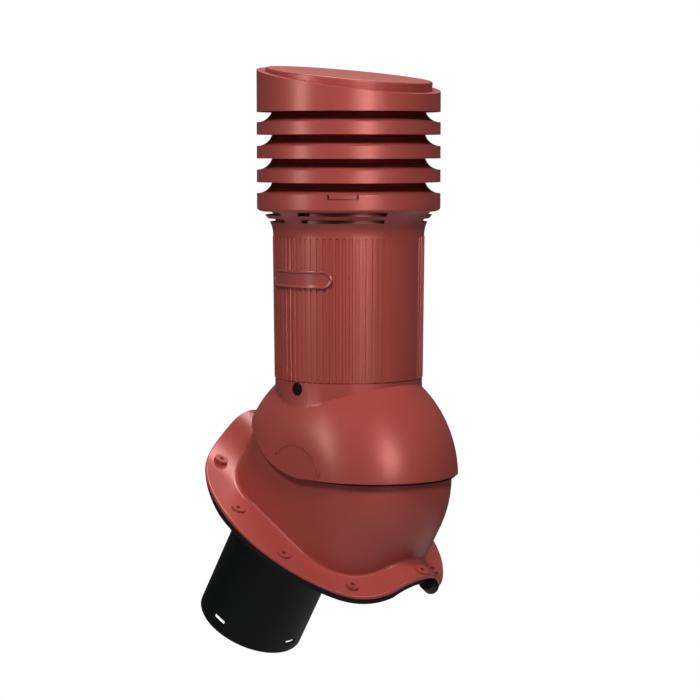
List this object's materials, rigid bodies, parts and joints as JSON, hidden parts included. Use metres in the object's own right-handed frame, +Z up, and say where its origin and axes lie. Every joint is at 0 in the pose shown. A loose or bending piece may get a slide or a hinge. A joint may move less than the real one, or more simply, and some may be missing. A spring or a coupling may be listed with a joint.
{
  "type": "roof vent pipe",
  "caption": "Roof vent pipe with a louvred round head, fluted sleeve and tilting ball hood on a wavy tile flange, with a duct spigot below.",
  "frame": {"origin": "centre of the duct spigot's open lower end", "axes": "+Z up along the head, +X down the roof, +Y across the roof; the roof falls 30.6 degrees toward +X"},
  "size_m": [0.3014, 0.232, 0.5953],
  "materials": {
    "red_shell": "fine satin",
    "red_gloss": "gloss",
    "black_pipe": "satin",
    "black_rubber": "soft",
    "grey_duct": "satin",
    "pale_foam": "foamed",
    "steel": "plain"
  },
  "bodies": {
    "base": {"base_shell": "red_shell", "flange_gasket": "black_rubber", "seal_cord": "black_rubber", "spigot_pipe": "black_pipe", "spigot_seal": "black_rubber", "spigot_ring": "black_pipe"},
    "hood": {"tilt_hood": "red_shell", "lock_plugs": "black_pipe", "lock_screws": "steel", "lock_shoes": "black_pipe", "outer_sleeve": "red_shell", "badge_pad": "red_gloss", "inner_duct": "grey_duct", "duct_seal": "black_rubber", "foam_sleeve": "pale_foam", "head_collar": "red_shell", "louvre_low": "red_shell", "louvre_middle": "red_shell", "louvre_high": "red_shell", "louvre_cage": "black_pipe", "top_cap": "red_shell", "cap_disc": "red_shell"}
  },
  "joints": [
    {"name": "hood_tilt", "type": "hinge", "parent": "base", "child": "hood", "pos_m": [0.1384, 0, 0.16526], "axis": [0, 1, 0], "range_deg": [-9.4, 25.6]}
  ]
}
